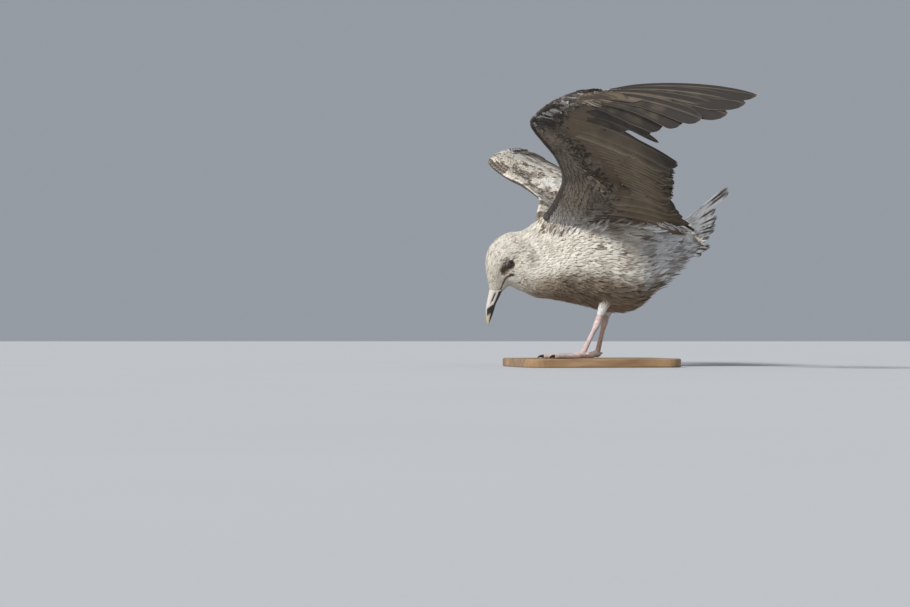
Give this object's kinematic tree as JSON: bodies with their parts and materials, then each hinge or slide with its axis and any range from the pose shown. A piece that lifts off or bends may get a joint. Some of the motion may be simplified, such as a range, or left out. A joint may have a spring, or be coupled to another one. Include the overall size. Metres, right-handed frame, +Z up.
{
  "type": "immature herring gull display model",
  "caption": "Life-size young herring gull, standing head down with its wings raised and open: a still display model on a flat base plate.",
  "frame": {"origin": "centre of the base plate's underside", "axes": "+Z up; the bird faces -X, its left wing points to -Y and its right wing to +Y"},
  "size_m": [0.3391, 1.0104, 0.3565],
  "materials": {
    "base_wood": "satin oiled pale hardwood",
    "body_plumage": "matt cream-white body feathers with grey-brown streaks and mottles",
    "wing_plumage": "matt grey-brown wing coverts, chequered buff above",
    "flight_feather": "smooth grey-brown flight feathers with a slight sheen",
    "bill_horn": "horn, flesh pink at the base, black band, pale tip",
    "eye": "wet, glossy dark brown",
    "leg_skin": "pale pink scaly skin",
    "claw_horn": "dark horn, half gloss"
  },
  "bodies": {
    "root": {"stand_base": "base_wood", "trunk": "body_plumage", "neck": "body_plumage", "head": "body_plumage", "thigh_left": "body_plumage", "thigh_right": "body_plumage", "wing_left_arm": "wing_plumage", "wing_right_arm": "wing_plumage", "wing_left_hand": "wing_plumage", "wing_right_hand": "wing_plumage", "wing_left_secondaries": "flight_feather", "wing_right_secondaries": "flight_feather", "wing_left_primaries": "flight_feather", "wing_right_primaries": "flight_feather", "tail": "flight_feather", "bill_upper": "bill_horn", "bill_lower": "bill_horn", "eye_left": "eye", "eye_right": "eye", "shank_left": "leg_skin", "shank_right": "leg_skin", "foot_left": "leg_skin", "foot_right": "leg_skin", "claw_left_inner": "claw_horn", "claw_left_middle": "claw_horn", "claw_left_outer": "claw_horn", "claw_right_inner": "claw_horn", "claw_right_middle": "claw_horn", "claw_right_outer": "claw_horn"}
  },
  "joints": []
}
